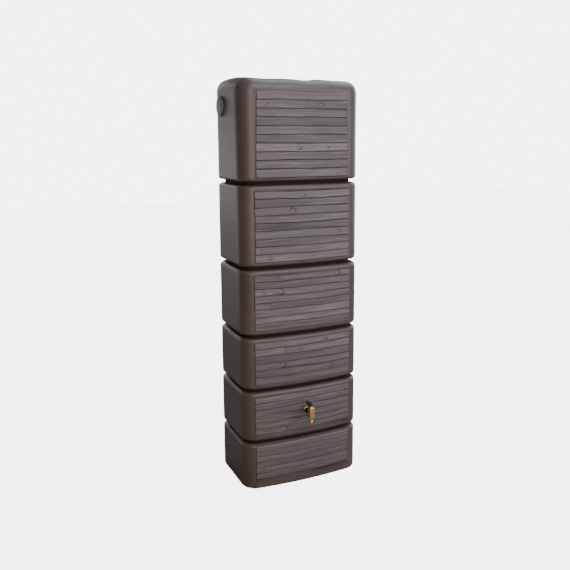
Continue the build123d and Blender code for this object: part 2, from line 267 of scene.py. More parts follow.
def lathe(name, profile, centre, axis, around):
    """A turned piece: profile is a closed list of (radius, height) along the axis."""
    rings = [place(ring, centre, axis) for ring in turned(profile, around)]
    return skin(name, rings, True)


def drill(obj, radius, start, end, around=96):
    """Cuts a round hole from start to end."""
    start = Vector(start)
    axis = Vector(end) - start
    rings = turned([(0, 0), (radius, 0), (radius, axis.length), (0, axis.length)], around)
    boolean(obj, skin("cut", [place(ring, start, axis.normalized()) for ring in rings], False))


def tube(name, outer, inner, start, end, around=96):
    """A plain tube between two points, its corners broken."""
    start = Vector(start)
    axis = Vector(end) - start
    long = axis.length
    brk = 0.4 * MM
    profile = [(inner, brk), (inner + brk, 0), (outer - brk, 0), (outer, brk),
               (outer, long - brk), (outer - brk, long), (inner + brk, long), (inner, long - brk)]
    return lathe(name, profile, start, axis.normalized(), around)


def polygon_radii(sides, across_flats, around):
    """The radius at each angle of a regular polygon."""
    step = 2 * math.pi / sides
    local = (angles(around) + step / 2) % step - step / 2
    straight = across_flats / 2 / np.cos(local)
    return np.minimum(straight, across_flats / 2 / math.cos(step / 2))


def box(node):
    """A CAD node's low corner, high corner and middle."""
    low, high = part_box(node)
    return low, high, (low + high) / 2


def fit(obj, body, node, slot, *materials):
    """Gives a piece its materials and body, and hides the CAD node that it stands in for."""
    obj.data.materials.clear()
    for material in materials:
        obj.data.materials.append(material)
    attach(obj, body)
    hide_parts(node)


# ---------------------------------------------------------------- node tools


class Shader:
    """A material's node tree, built through short calls."""

    def __init__(self, name):
        self.material = bpy.data.materials.new(name)
        self.material.use_nodes = True
        self.tree = self.material.node_tree
        self.surface = self.tree.nodes["Principled BSDF"]

    def set(self, **values):
        for key, value in values.items():
            self.surface.inputs[key.replace("_", " ")].default_value = value

    def feed(self, value, socket):
        if isinstance(value, bpy.types.NodeSocket):
            self.tree.links.new(value, socket)
        elif socket.type == "RGBA":
            socket.default_value = (*value, 1.0)
        else:
            socket.default_value = value

    def out(self, socket, key):
        self.feed(socket, self.surface.inputs[key])

    def add(self, kind, output, inputs, **settings):
        """Adds a node, sets its fields, feeds its inputs and gives one of its outputs."""
        node = self.tree.nodes.new("ShaderNode" + kind)
        for key, value in settings.items():
            setattr(node, key, value)
        for key, value in inputs.items():
            self.feed(value, node.inputs[key])
        return node.outputs[output]

    def place(self):
        return self.add("TexCoord", "Object", {})

    def attribute(self, name, output="Fac"):
        return self.add("Attribute", output, {}, attribute_name=name)

    def stretch(self, vector, scale):
        return self.add("Mapping", "Vector", {"Vector": vector, "Scale": scale})

    def noise(self, vector, scale, detail=4.0, roughness=0.55):
        inputs = {"Vector": vector, "Scale": scale, "Detail": detail, "Roughness": roughness}
        return self.add("TexNoise", "Fac", inputs)

    def ramp(self, factor, stops):
        colour = self.add("ValToRGB", "Color", {"Fac": factor})
        elements = colour.node.color_ramp.elements
        while len(elements) < len(stops):
            elements.new(0.5)
        for element, (position, tint) in zip(elements, stops):
            element.position = position
            element.color = (*tint, 1.0)
        return colour

    def mix(self, factor, a, b):
        return self.add("Mix", 2, {0: factor, 6: a, 7: b}, data_type="RGBA")

    def maths(self, operation, a, b):
        return self.add("Math", 0, {0: a, 1: b}, operation=operation)

    def scaled(self, value, low, high):
        """Maps 0..1 to low..high."""
        return self.add("MapRange", "Result", {"Value": value, "To Min": low, "To Max": high})

    def bump(self, height, distance, strength, under=None):
        inputs = {"Height": height, "Distance": distance, "Strength": strength}
        if under is not None:
            inputs["Normal"] = under
        return self.add("Bump", "Normal", inputs)


# ---------------------------------------------------------------- materials


def tank_material():
    """Brown moulded plastic: plain on the shell, with boards of differing tone in front, and painted
    shade in the waist grooves and the boards' gaps.
    """
    s = Shader("tank_plastic")
    s.set(Specular_IOR_Level=0.5)
    place_at = s.place()
    grain_at = s.attribute("grain", "Vector")
    plank = s.attribute("plank")
    tone = s.attribute("tone")
    cavity = s.attribute("cavity")
    knot = s.attribute("knot")

    cloud = s.noise(place_at, 5.0, detail=3.0)
    speck = s.noise(place_at, 900.0, detail=2.0)
    plain = s.ramp(cloud, [(0.3, (0.072, 0.045, 0.031)), (0.7, (0.092, 0.060, 0.044))])
    plain = s.mix(s.scaled(speck, 0.0, 0.2), plain, (0.135, 0.100, 0.082))

    streak = s.noise(s.stretch(grain_at, (5.5, 150.0, 1.0)), 1.0, detail=6.0, roughness=0.65)
    fibre = s.noise(s.stretch(grain_at, (22.0, 700.0, 1.0)), 1.0, detail=3.0, roughness=0.6)
    band = s.noise(s.stretch(grain_at, (2.6, 62.0, 1.0)), 1.0, detail=2.0)
    figure = s.maths("ADD", s.maths("MULTIPLY", streak, 0.55), s.maths("MULTIPLY", band, 0.45))
    board = s.ramp(
        figure,
        [
            (0.38, (0.036, 0.024, 0.020)),
            (0.46, (0.088, 0.063, 0.056)),
            (0.54, (0.132, 0.098, 0.090)),
            (0.62, (0.250, 0.198, 0.186)),
        ],
    )
    board = s.mix(s.scaled(fibre, 0.0, 0.55), board, (0.052, 0.037, 0.032))
    lighter = s.mix(0.40, board, (0.245, 0.196, 0.184))
    darker = s.mix(0.42, board, (0.044, 0.034, 0.030))
    board = s.mix(tone, darker, lighter)
    board = s.mix(knot, board, (0.036, 0.024, 0.019))
    base = s.mix(plank, plain, board)
    # painted shade: the colour goes near black in the waist grooves, the boards' gaps and their ends
    base = s.mix(cavity, base, (0.010, 0.007, 0.005))
    s.out(base, "Base Color")

    rough = s.maths("ADD", s.scaled(streak, 0.06, -0.06), s.scaled(plank, 0.42, 0.55))
    rough = s.maths("ADD", rough, s.scaled(cavity, 0.0, 0.5))
    s.out(rough, "Roughness")
    fine = s.bump(speck, 0.0002, 0.4)
    ridges = s.maths("MULTIPLY", s.maths("ADD", streak, s.maths("MULTIPLY", fibre, 0.5)), plank)
    s.out(s.bump(ridges, 0.0012, 0.8, under=fine), "Normal")
    return s.material


def plastic_material(name, dark, light):
    """Plain moulded plastic with a fine spark-eroded texture."""
    s = Shader(name)
    s.set(Specular_IOR_Level=0.45)
    place_at = s.place()
    cloud = s.noise(place_at, 14.0, detail=3.0)
    speck = s.noise(place_at, 1300.0, detail=2.0)
    s.out(s.ramp(cloud, [(0.3, dark), (0.7, light)]), "Base Color")
    s.out(s.scaled(speck, 0.42, 0.56), "Roughness")
    s.out(s.bump(speck, 0.00015, 0.6), "Normal")
    return s.material


def metal_material(name, dark, light, low_rough, high_rough, brushed):
    """Metal with cloudy tarnish and fine tool marks."""
    s = Shader(name)
    s.set(Metallic=1.0)
    place_at = s.place()
    cloud = s.noise(place_at, 90.0, detail=5.0, roughness=0.6)
    marks = s.noise(s.stretch(place_at, brushed), 1.0, detail=3.0)
    s.out(s.ramp(cloud, [(0.32, dark), (0.62, light)]), "Base Color")
    s.out(s.scaled(marks, low_rough, high_rough), "Roughness")
    s.out(s.bump(marks, 0.00006, 0.5), "Normal")
    return s.material


def rubber_material():
    s = Shader("seal_rubber")
    s.set(Specular_IOR_Level=0.3)
    dust = s.noise(s.place(), 60.0, detail=4.0)
    s.out(s.ramp(dust, [(0.35, (0.012, 0.012, 0.012)), (0.8, (0.035, 0.033, 0.031))]), "Base Color")
    s.out(s.scaled(dust, 0.62, 0.82), "Roughness")
    return s.material


def seat_material():
    s = Shader("seat_plastic")
    cloud = s.noise(s.place(), 200.0)
    s.out(s.ramp(cloud, [(0.3, (0.72, 0.71, 0.68)), (0.7, (0.83, 0.82, 0.80))]), "Base Color")
    s.out(s.scaled(cloud, 0.3, 0.4), "Roughness")
    return s.material


def floor_material():
    """A pale matt floor, with a glow for the camera alone so that it meets the backdrop."""
    s = Shader("floor")
    cloud = s.noise(s.place(), 1.2, detail=2.0)
    s.out(s.ramp(cloud, [(0.2, (0.21, 0.205, 0.20)), (0.8, (0.23, 0.225, 0.22))]), "Base Color")
    s.set(Roughness=0.9, Specular_IOR_Level=0.1, Emission_Color=(1.0, 1.0, 1.0, 1.0))
    seen = s.add("LightPath", "Is Camera Ray", {})
    s.out(s.scaled(seen, 0.0, FLOOR_GLOW), "Emission Strength")
    return s.material


# ---------------------------------------------------------------- tank plan and profile


def plan_facts(inset):
    """Where the plan's arcs and corners meet at this inset: the CAD outline, worked out."""
    half_width = HALF_WIDTH - inset
    half_depth = HALF_DEPTH - inset
    corner = max(CORNER - inset, 1 * MM)
    bow_radius = (half_width**2 + FRONT_BOW**2) / (2 * FRONT_BOW)
    bow_centre = -half_depth - FRONT_BOW + bow_radius
    corner_x = half_width - corner
    front_y = bow_centre - math.sqrt((bow_radius - corner) ** 2 - corner_x**2)
    lean = math.atan2(corner_x, bow_centre - front_y)
    return half_width, half_depth, corner, bow_radius, bow_centre, corner_x, front_y, lean


def front_columns():
    """Places across the front, -1 to 1, closer together near the panels' two ends."""
    _, _, _, bow_radius, _, _, _, lean = plan_facts(0.0)
    reach = bow_radius * math.sin(lean)
    middle = np.linspace(-FINE_FROM, FINE_FROM, int(2 * FINE_FROM / FRONT_STEP) + 1)
    side = np.linspace(FINE_FROM, reach, int((reach - FINE_FROM) / FINE_STEP) + 1)[1:]
    return np.concatenate([-side[::-1], middle, side]) / reach


FRONT = front_columns()


def panel_half(number, share, x):
    """How far a panel reaches from the middle, on x's side, at this share of its height."""
    left, right = PANELS[number][:2]
    spread = TOP_PANEL_SPREAD if number == len(PANELS) - 1 else 0.0
    return np.where(x < 0, left, right) * MM + spread * (0.5 - share)


def outline(inset, height=0.0):
    """One closed ring of the tank's plan, from the front's left end round by the right."""
    half_width, half_depth, corner, radius, centre, corner_x, front_y, lean = plan_facts(inset)
    x = FRONT * radius * math.sin(lean)
    points = [np.stack([x, centre - np.sqrt(radius**2 - x**2)], axis=1)]

    def corner_arc(middle_x, middle_y, start, end, shares):
        turn = start + (end - start) * shares
        points.append(
            np.stack([middle_x + corner * np.cos(turn), middle_y + corner * np.sin(turn)], 1)
        )

    def straight(start, end, steps):
        t = np.linspace(0, 1, steps)[:, None]
        points.append(np.array(start) * (1 - t) + np.array(end) * t)

    back_y = half_depth - corner
    quarter = math.pi / 2
    corner_arc(corner_x, front_y, -quarter + lean, 0, FRONT_CORNER)
    straight((half_width, front_y), (half_width, back_y), SIDE_STEPS)
    corner_arc(corner_x, back_y, 0, quarter, BACK_CORNER)
    straight((corner_x, half_depth), (-corner_x, half_depth), BACK_STEPS)
    corner_arc(-corner_x, back_y, quarter, 2 * quarter, BACK_CORNER)
    straight((-half_width, back_y), (-half_width, front_y), SIDE_STEPS)
    corner_arc(-corner_x, front_y, 2 * quarter, 3 * quarter - lean, 1 - FRONT_CORNER[::-1])
    flat = np.concatenate(points)
    return np.column_stack([flat, np.full(len(flat), height)])


def outward(ring):
    """The plan's outward direction at each point of a ring."""
    along = np.roll(ring, -1, axis=0) - np.roll(ring, 1, axis=0)
    side = np.stack([along[:, 1], -along[:, 0], np.zeros(len(along))], axis=1)
    return side / np.linalg.norm(side, axis=1)[:, None]


# ---------------------------------------------------------------- boards


def board_levels(rng, low, high, number, x):
    """The wavy edges between boards, one row of heights per edge, straight off the panel."""
    count = PANELS[number][4]
    share = np.concatenate([[0.0], np.cumsum(rng.uniform(0.93, 1.07, count))])
    share /= share[-1]
    edges = []
    for place_at, along in enumerate(share):
        outer = place_at in (0, count)
        size = 0.4 * MM if outer else rng.uniform(0.6, 1.5) * MM
        wave = np.zeros_like(x)
        for wide, tall in ((0.36, 1.0), (0.14, 0.45), (0.05, 0.14)):
            phase = rng.uniform(0, 2 * math.pi)
            wave += tall * np.sin(2 * math.pi * x / (wide * rng.uniform(0.8, 1.25)) + phase)
        beyond = np.abs(x) - panel_half(number, along, x)
        inside = 1 - smoothstep(0, 25 * MM, beyond)
        edges.append(low + (high - low) * along + size * wave * inside)
    return edges


def board_section(fraction, proud):
    """How far a board stands out at this fraction of its height, and how much painted shade darkens
    it at its low edge and under the board above.
    """
    lap = proud + (BOARD_BACK - proud) * fraction
    low_edge = smoothstep(0.0, 0.075, fraction)
    high_edge = 1 - smoothstep(0.955, 1.0, fraction)
    stand = (lap + GAP_DEEP) * low_edge * high_edge - GAP_DEEP
    # painted shade along the board's low edge and under the proud edge of the board above
    shade = (1 - smoothstep(0.0, 0.07, fraction)) + smoothstep(0.90, 0.99, fraction)
    return stand, shade


def add_knot(rng, at_x, at_z, size, x, z, stand, grain, tone, knot):
    """A raised pale knot with a dark ring, the ring darker round one side as painted shade; the grain
    bends round it.
    """
    dx = (x - at_x) / (1.7 * size)
    dz = (z - at_z) / size
    angle = np.arctan2(dz, dx)
    first, second, lean = rng.uniform(-1.0, 1.0, 3)
    uneven = 1 + 0.22 * np.sin(2 * angle + 3 * first) + 0.14 * np.sin(5 * angle + 3 * second)
    away = np.hypot(dx, dz) * uneven
    moat = 0.8 * MM * np.exp(-(((away - 0.95) / 0.25) ** 2))
    stand += 0.9 * MM * np.exp(-((away / 0.55) ** 2)) - moat
    push = np.exp(-(dx**2 / 5.0 + dz**2 / 3.0))
    grain[..., 1] += np.sign(dz) * push * 0.9 * size - dz * push * 0.4 * size
    shade_side = smoothstep(-0.8, 0.8, dx * math.cos(lean) + dz * math.sin(lean))
    # painted shade: the knot's dark ring is darker on one side
    ring = np.exp(-(((away - 0.85) / 0.32) ** 2)) * (0.2 + 0.75 * shade_side)
    bend = np.abs(dz) - 1.15 + 0.22 * dx**2
    stroke = 0.6 * np.exp(-((bend / 0.2) ** 2) - (dx / 1.3) ** 2)
    knot[:] = np.maximum(knot, np.maximum(ring, stroke))
    tone += 1.0 * np.exp(-((away / 0.5) ** 2))


def cut_joint(rng, at_x, x, stand, grain, tone, gap_shade):
    """A butt joint: a narrow gap across the board with painted shade in it, and a new board's grain
    beyond it.
    """
    notch = np.exp(-(((x - at_x) / (1.6 * MM)) ** 2))
    stand -= 0.8 * MM * notch
    np.maximum(gap_shade, 0.3 * notch, out=gap_shade)
    grain[..., 2] += np.where(x > at_x, 3.7, 0.0)
    tone += np.where(x > at_x, rng.uniform(0.1, 0.3), 0.0)


def board_rows(rng, number, board, edge_low, edge_high, x):
    """The rows of one board: heights, how far they stand out and the shader's values."""
    left, right = (reach * MM for reach in PANELS[number][:2])
    fractions = BOARD_ROWS[:, None] + 0 * x
    grid_x = x + 0 * fractions
    z = edge_low * (1 - fractions) + edge_high * fractions
    height = float(np.mean(edge_high - edge_low))
    drift = lattice_noise(grid_x / 0.12, np.full_like(grid_x, board * 3.7), rng)
    firm = rng.uniform(0.35, 1.0)
    stand, gap_shade = board_section(fractions, BOARD_PROUD * (0.3 + 0.7 * firm + 0.35 * drift))
    patches = lattice_noise(grid_x / 0.08, np.full_like(grid_x, board * 5.3), rng)
    # the painted shade is stronger on some boards and in patches along each
    gap_shade *= 0.25 + 0.5 * firm + 0.35 * patches
    local = fractions * height
    grain = np.stack([grid_x, local, np.full_like(grid_x, rng.uniform(0, 40))], axis=-1)
    knot = np.zeros_like(grid_x)
    tone = np.full_like(grid_x, TONES[number][board])
    for on_board, across, size in KNOTS[number]:
        if on_board == board:
            at_x = across * (left + right) - left
            add_knot(rng, at_x, 0.5 * height, size * MM, grid_x, local, stand, grain, tone, knot)
    for on_board, across in JOINTS[number]:
        if on_board == board:
            cut_joint(rng, across * (left + right) - left, grid_x, stand, grain, tone, gap_shade)
    coarse = lattice_noise(grid_x / 0.07, grain[..., 1] / 0.0042, rng)
    fine = lattice_noise(grid_x / 0.022, grain[..., 1] / 0.0023, rng)
    stand += GRAIN_RELIEF * (coarse + 0.6 * fine)
    uneven = np.where(grid_x < 0, rng.uniform(-1, 0), rng.uniform(-1, 0)) * MM
    middle_share = (board + 0.5) / PANELS[number][4]
    beyond = np.abs(grid_x) - panel_half(number, middle_share, grid_x) - uneven
    inside = 1 - smoothstep(-1.0 * MM, 1.2 * MM, beyond)
    # The end gaps are cut deeper at the left, and 0.75 of their weight is painted shade: darker at
    # the left ends, away from the light, a quarter as dark at the right.
    end_gap = np.exp(-(((beyond - 1.4 * MM) / (1.8 * MM)) ** 2)) * np.where(grid_x < 0, 1.0, 0.25)
    stand = stand * inside - 0.9 * MM * end_gap
    cavity = np.clip(gap_shade * inside + 0.75 * end_gap, 0, 1)
    values = {"plank": inside, "tone": tone, "cavity": cavity, "knot": knot * inside, "grain": grain}
    return z, stand, values


def clear_of_tap(ring):
    """0 on a level round pad for the tap's washer, rising to 1 away from it."""
    middle = box("tap_washer")[2]
    away = np.hypot(ring[:, 0] - middle.x, ring[:, 2] - middle.z)
    return np.where(ring[:, 1] < 0, smoothstep(19 * MM, 23 * MM, away), 1.0)


# ---------------------------------------------------------------- tiers


def corner_profile(level, radius, rising):
    """The rounded edge of a tier, from its end face out to its wall, as (inset, height)."""
    centre = level + radius if rising else level - radius
    turns = np.linspace(0, math.pi / 2, 9)
    sign = -1 if rising else 1
    points = [(radius - radius * math.sin(t), centre + sign * radius * math.cos(t)) for t in turns]
    return points if rising else points[::-1]


def waist_profile(cut, end_face, rising):
    """From the waist's cut, round its small fillet and out along the tier's end face."""
    sign = 1 if rising else -1
    corner = end_face - sign * WAIST_FILLET
    turns = np.linspace(0, math.pi / 2, 4)
    points = [(GROOVE_DEPTH, cut)]
    for t in turns:
        inset = GROOVE_DEPTH - WAIST_FILLET * (1 - math.cos(t))
        points.append((inset, corner + sign * WAIST_FILLET * math.sin(t)))
    return points if rising else points[::-1]


def plain_attributes(count):
    return {
        "plank": np.zeros(count),
        "tone": np.full(count, 0.5),
        "cavity": np.zeros(count),
        "knot": np.zeros(count),
        "grain": np.zeros((count, 3)),
    }


class TierRows:
    """Collects a tier's rings with the shader's values for each point."""

    def __init__(self):
        self.rings = []
        self.values = []

    def add(self, ring, values=None):
        self.rings.append(ring)
        self.values.append(values or plain_attributes(len(ring)))

    def add_profile(self, profile, shade_paint=0.0):
        for inset, height in profile:
            ring = outline(inset, height)
            values = plain_attributes(len(ring))
            # painted shade added to these rows' colour, used for the waist grooves
            values["cavity"] += shade_paint
            self.add(ring, values)

    def skin(self, name, closed):
        joined = {key: np.concatenate([v[key] for v in self.values]) for key in self.values[0]}
        return skin(name, self.rings, closed, joined, 50)


def wall_inset(z, low_end, high_end, low_radius, high_radius):
    """How far the rounded tier edges draw the wall in at height z."""
    low_way = np.clip(low_end + low_radius - z, 0, low_radius)
    high_way = np.clip(z - high_end + high_radius, 0, high_radius)
    low_part = low_radius - np.sqrt(low_radius**2 - low_way**2)
    return low_part + high_radius - np.sqrt(high_radius**2 - high_way**2)


def add_wall(rows, rng, number, low, high, radii, gaps):
    """Adds a tier's low rounded edge and its boards, and gives the profile of its high edge."""
    _, _, below, above, count = PANELS[number]
    low_end, high_end = low + gaps[0], high - gaps[1]
    panel_low, panel_high = low + below * MM, high - above * MM
    clear = 1.5 * MM
    lower = corner_profile(low_end, radii[0], True)
    rows.add_profile([p for p in lower if p[1] < panel_low - clear])
    base = outline(0.0)
    out = outward(base)
    off_panel = np.where(base[:, 0] < 0, -1.0, 1.0)
    x = np.where(base[:, 1] < 0, base[:, 0], off_panel)
    edges = board_levels(rng, panel_low, panel_high, number, x)
    for board in range(count):
        z, stand, values = board_rows(rng, number, board, edges[board], edges[board + 1], x)
        for row, level in enumerate(z):
            ring = base.copy()
            ring[:, 2] = level
            keep = clear_of_tap(ring) if number == TAP_TIER else 1.0
            facts = {key: grid[row] for key, grid in values.items()}
            facts["plank"] = facts["plank"] * keep
            facts["cavity"] = facts["cavity"] * keep
            push = stand[row] * keep - wall_inset(level, low_end, high_end, *radii)
            rows.add(ring + out * push[:, None], facts)
    upper = corner_profile(high_end, radii[1], False)
    return [p for p in upper if p[1] > panel_high + clear]


def inner_high(high):
    """The inside of a tier's high end, from its cut round to the wall, as (inset, height)."""
    ceiling = high - HALF_GAP - WALL
    edge = corner_profile(ceiling, HIGH_EDGE - WALL, False)[::-1]
    cut = [(GROOVE_DEPTH, high), (GROOVE_DEPTH, ceiling)]
    return [(inset + WALL, z) for inset, z in cut + edge]


def inner_low(low):
    """The inside of a tier's low end, from the wall round to its cut, as (inset, height)."""
    floor = low + HALF_GAP + WALL
    edge = corner_profile(floor, LOW_EDGE - WALL, True)[::-1]
    cut = [(GROOVE_DEPTH, floor), (GROOVE_DEPTH, low)]
    return [(inset + WALL, z) for inset, z in edge + cut]


def middle_tier(number, low, high, rng):
    rows = TierRows()
    rows.add_profile(waist_profile(low, low + HALF_GAP, True), WAIST_SHADE)
    radii, gaps = (LOW_EDGE, HIGH_EDGE), (HALF_GAP, HALF_GAP)
    rows.add_profile(add_wall(rows, rng, number, low, high, radii, gaps))
    rows.add_profile(waist_profile(high, high - HALF_GAP, False), WAIST_SHADE)
    rows.add_profile(inner_high(high) + inner_low(low))
    return rows.skin(f"tank_tier_{number + 1}", True)


def floor_ring(inset, height):
    """A ring of the flat floor, scaled in where an inset alone would pinch the corners."""
    most = 70 * MM
    share = 1.0 if inset <= most else 1 - (inset - most) / (HALF_DEPTH - most)
    return outline(min(inset, most), height) * np.array([share, share, 1.0])


def bottom_tier(low, high, rng):
    rows = TierRows()
    pole = np.zeros((len(outline(0.0)), 3))
    rows.add(pole + np.array([0, 0, low]))
    for inset in FLOOR_INSETS:
        rows.add(floor_ring(inset, low))
    rows.add_profile(add_wall(rows, rng, 0, low, high, (FOOT_EDGE, HIGH_EDGE), (0.0, HALF_GAP)))
    rows.add_profile(waist_profile(high, high - HALF_GAP, False), WAIST_SHADE)
    rows.add_profile(inner_high(high))
    foot = corner_profile(low + WALL, FOOT_EDGE - WALL, True)[::-1]
    rows.add_profile([(inset + WALL, z) for inset, z in foot])
    for inset in FLOOR_INSETS[::-1]:
        rows.add(floor_ring(inset, low + WALL))
    rows.add(pole + np.array([0, 0, low + WALL]))
    return rows.skin("tank_tier_1", False)


def crown(ring):
    """The deck's height at each point of a ring: a long arc that falls towards the front."""
    return CROWN_TOP - (ring[:, 1] - CROWN_Y) ** 2 / (2 * CROWN_RADIUS)


def humps(ring):
    """Three gentle ribs that run back from the front edge and fade out."""
    wave = np.cos(2 * math.pi * (ring[:, 0] + HUMP_SHIFT) / HUMP_PITCH)
    fade = 1 - smoothstep(-120 * MM, 80 * MM, ring[:, 1])
    return HUMP_HEIGHT * wave * fade


def add_top_edge(rows, deck_edge):
    """The large rounded edge from the wall up to the deck."""
    for turn in np.linspace(math.pi / 2, 0, 13):
        ring = outline(TOP_EDGE * (1 - math.sin(turn)))
        share = math.cos(turn)
        ring[:, 2] = crown(deck_edge) - TOP_EDGE * (1 - share) + humps(deck_edge) * share**2
        ring[:, 2] = np.maximum(ring[:, 2], rows.rings[-1][:, 2] + 0.1 * MM)
        rows.add(ring)


def add_recess(rows):
    """The deck in to the lid's recess, down into it, in to the neck and back underneath."""
    neck_low, neck_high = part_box("neck_ring")
    middle = np.array([(neck_low.x + neck_high.x) / 2, (neck_low.y + neck_high.y) / 2])
    neck = (neck_high.x - neck_low.x) / 2
    lip = 3 * MM
    floor = neck_low.z + WALL
    edge_ring = rows.rings[-1]
    angle = np.arctan2(edge_ring[:, 1] - middle[1], edge_ring[:, 0] - middle[0])

    def circle(radius, height):
        flat = middle + radius * np.stack([np.cos(angle), np.sin(angle)], 1)
        return np.column_stack([flat, np.zeros(len(flat)) + height])

    rim = circle(RECESS + lip, 0.0)
    for t in np.linspace(0, 1, 9)[1:]:
        ring = edge_ring * (1 - t) + rim * t
        ring[:, 2] = crown(ring) + humps(ring)
        rows.add(ring)
    rim_height = rows.rings[-1][:, 2]
    for turn in np.linspace(0.3, math.pi / 2, 5):
        radius = RECESS + lip * (1 - math.sin(turn))
        rows.add(circle(radius, rim_height - lip * (1 - math.cos(turn))))
    for radius, height in (
        (RECESS, floor + lip),
        (RECESS - 1 * MM, floor + 1 * MM),
        (RECESS - lip, floor),
        (neck, floor),
        (neck, floor - WALL),
        (RECESS + WALL, floor - WALL),
        (RECESS + WALL, rim_height - WALL - lip),
    ):
        rows.add(circle(radius, height))


def add_deck_inside(rows, deck_edge):
    """The deck's underside, out from the recess and round the large edge to the wall."""
    last = rows.rings[-1]
    for t in (0.25, 0.5, 0.75, 1.0):
        ring = last * (1 - t) + deck_edge * t
        ring[:, 2] = crown(ring) - WALL
        rows.add(ring)
    for turn in np.linspace(0, math.pi / 2, 7)[1:]:
        ring = outline((TOP_EDGE - WALL) * (1 - math.sin(turn)) + WALL)
        ring[:, 2] = crown(deck_edge) - WALL - (TOP_EDGE - WALL) * (1 - math.cos(turn))
        rows.add(ring)


def top_tier(low, high, rng):
    rows = TierRows()
    rows.add_profile(waist_profile(low, low + HALF_GAP, True), WAIST_SHADE)
    add_wall(rows, rng, len(PANELS) - 1, low, high, (LOW_EDGE, TOP_EDGE), (HALF_GAP, 0.0))
    deck_edge = outline(TOP_EDGE)
    add_top_edge(rows, deck_edge)
    add_recess(rows)
    add_deck_inside(rows, deck_edge)
    rows.add_profile(inner_low(low))
    return rows.skin("tank_tier_6", True)


def port_collar(side):
    """The collar welded behind a side wall's port, its thread drawn as round grooves."""
    low, high, middle = box(f"{WORDS[side]}_port_collar")
    outer = (high.z - low.z) / 2
    inner = outer - WALL
    long = high.x - low.x
    profile = in_mm([(-0.6, 0), (0, 0.6)], 0.0, outer) + [(outer, long), (inner, long)]
    for turn in range(3):
        at = long - 2 * MM - turn * THREAD_PITCH
        profile += in_mm([(0, 0), (0.8, -0.8), (0.8, -1.6), (0, -2.4)], at, inner)
    profile += in_mm([(0, 0.6), (0.6, 0)], 0.0, inner)
    start = (low.x if side > 0 else high.x, middle.y, middle.z)
    return lathe(f"{WORDS[side]}_threaded_collar", profile, start, (side, 0, 0), 128)


def tap_boss(tier):
    """Cuts the tap insert's hole through its tier and makes the boss that holds it inside."""
    low, high, centre = box("tap_insert")
    radius = (high.x - low.x) / 2 + 0.1 * MM
    drill(tier, radius, (0, low.y - 20 * MM, centre.z), (0, high.y + 20 * MM, centre.z))
    start, end = (0, low.y + 3 * MM, centre.z), (0, high.y, centre.z)
    return tube("tap_boss", radius + 5 * MM, radius, start, end)


def cut_port(tier, side):
    centre = box(f"{WORDS[side]}_port_seal")[2]
    start = (side * (HALF_WIDTH - 40 * MM), centre.y, centre.z)
    end = (side * (HALF_WIDTH + 20 * MM), centre.y, centre.z)
    drill(tier, PORT_BORE, start, end)


def bush_boss(tier, side):
    """Cuts a wall bush's hole through the back and makes the boss that holds it inside."""
    low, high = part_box("wall_bushes")
    x = side * (high.x - 8 * MM)
    z = (low.z + high.z) / 2
    drill(tier, BUSH_HOLE, (x, HALF_DEPTH - 30 * MM, z), (x, HALF_DEPTH + 10 * MM, z))
    start, end = (x, low.y, z), (x, HALF_DEPTH - 1 * MM, z)
    return tube(f"bush_boss_{WORDS[side]}", BUSH_HOLE + WALL, BUSH_HOLE, start, end, 48)


def make_tank(material):
    rng = np.random.default_rng(41)
    levels = np.concatenate([[0.0], np.cumsum(TIER_HEIGHTS)])
    tiers = [bottom_tier(levels[0], levels[1], rng)]
    for number in range(1, 5):
        tiers.append(middle_tier(number, levels[number], levels[number + 1], rng))
    tiers.append(top_tier(levels[5], levels[6], rng))
    extras = [tap_boss(tiers[TAP_TIER])]
    for side, word in WORDS.items():
        cut_port(tiers[-1], side)
        fit(port_collar(side), "tank", f"{word}_port_collar", "tank_plastic", material)
        extras.append(bush_boss(tiers[-1], side))
    for obj in tiers + extras:
        finish_mesh(obj.data, 50)
        fit(obj, "tank", "tank_shell", "tank_plastic", material)


# ---------------------------------------------------------------- neck, lid and port caps


def make_neck(material):
    """The neck ring with a round thread on its outside."""
    low, high, middle = box("neck_ring")
    outer = (high.x - low.x) / 2
    inner = outer - 8 * MM
    core = outer - 2.2 * MM
    around = 144
    rings = turned([(inner, low.z), (core, low.z), (core, low.z + 4 * MM)], around)
    for z in np.linspace(low.z + 5 * MM, high.z - 3 * MM, 26):
        turn = (z - low.z) / NECK_PITCH - angles(around) / (2 * math.pi)
        ridge = np.clip(np.cos(2 * math.pi * turn) * 1.6 - 0.5, 0, 1)
        run_in = smoothstep(low.z + 5 * MM, low.z + 9 * MM, z)
        run_out = 1 - smoothstep(high.z - 8 * MM, high.z - 4 * MM, z)
        rings.append(polar_ring(core + 2 * MM * ridge * run_in * run_out, z))
    mouth = in_mm([(-2.4, -1), (-3.2, 0)], high.z, outer) + in_mm([(1, 0), (0, -1)], high.z, inner)
    neck = upright("neck_ring_threaded", rings + turned(mouth, around), middle, True, 50)
    fit(neck, "tank", "neck_ring", "tank_plastic", material)


def scallops(radius, depth, around):
    """Radii of the lid's grip rim: finger scallops with rounded lands between."""
    return radius - depth * np.clip(np.cos(LID_SCALLOPS * angles(around)) * 1.25, 0, 1) ** 2


def half_disc(radius, half_bar, around):
    """The outline of one finger pocket beside the grip bar, as X, Y, corners rounded."""
    small = 6 * MM
    reach = math.sqrt((radius - small) ** 2 - (half_bar + small) ** 2)
    lean = math.atan2(reach, half_bar + small)
    main = np.linspace(-lean, lean, around // 2)
    parts = [radius * np.stack([np.cos(main), np.sin(main)], 1)]
    for sign, start, end in ((1, lean, math.pi), (-1, math.pi, 2 * math.pi - lean)):
        turn = np.linspace(start, end, around // 4 + 2)[1:-1]
        corner = np.array([half_bar + small, sign * reach])
        parts.append(corner + small * np.stack([np.cos(turn), np.sin(turn)], 1))
    return np.concatenate(parts)


